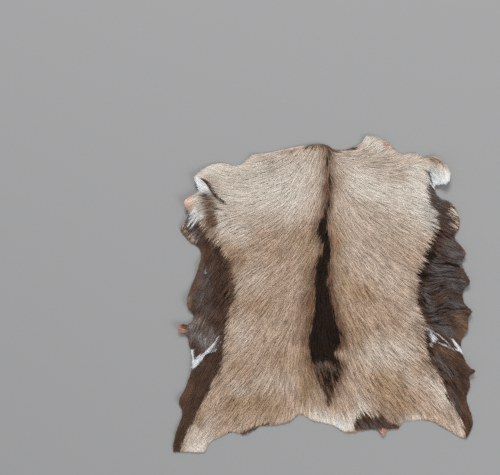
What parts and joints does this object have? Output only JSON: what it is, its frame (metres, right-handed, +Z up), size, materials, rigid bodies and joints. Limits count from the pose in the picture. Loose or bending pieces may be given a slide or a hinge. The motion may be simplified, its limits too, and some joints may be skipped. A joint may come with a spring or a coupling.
{
  "type": "goatskin rug",
  "caption": "Whole goatskin rug lying hair side up, with a dark spine stripe, dark belly edges and short leg points at its corners.",
  "frame": {"origin": "on the floor under the middle of the skin's bounding box", "axes": "+Z up from the floor out of the hair side, +Y along the skin towards the neck, +X towards the skin's right flank"},
  "size_m": [0.832, 0.8714, 0.0295],
  "materials": {
    "goat_hair": "short lying goat hair, tan with a black spine stripe and dark brown belly",
    "hide_leather": "pale suede flesh side of the tanned skin"
  },
  "bodies": {
    "root": {"goatskin": "goat_hair"}
  },
  "joints": []
}
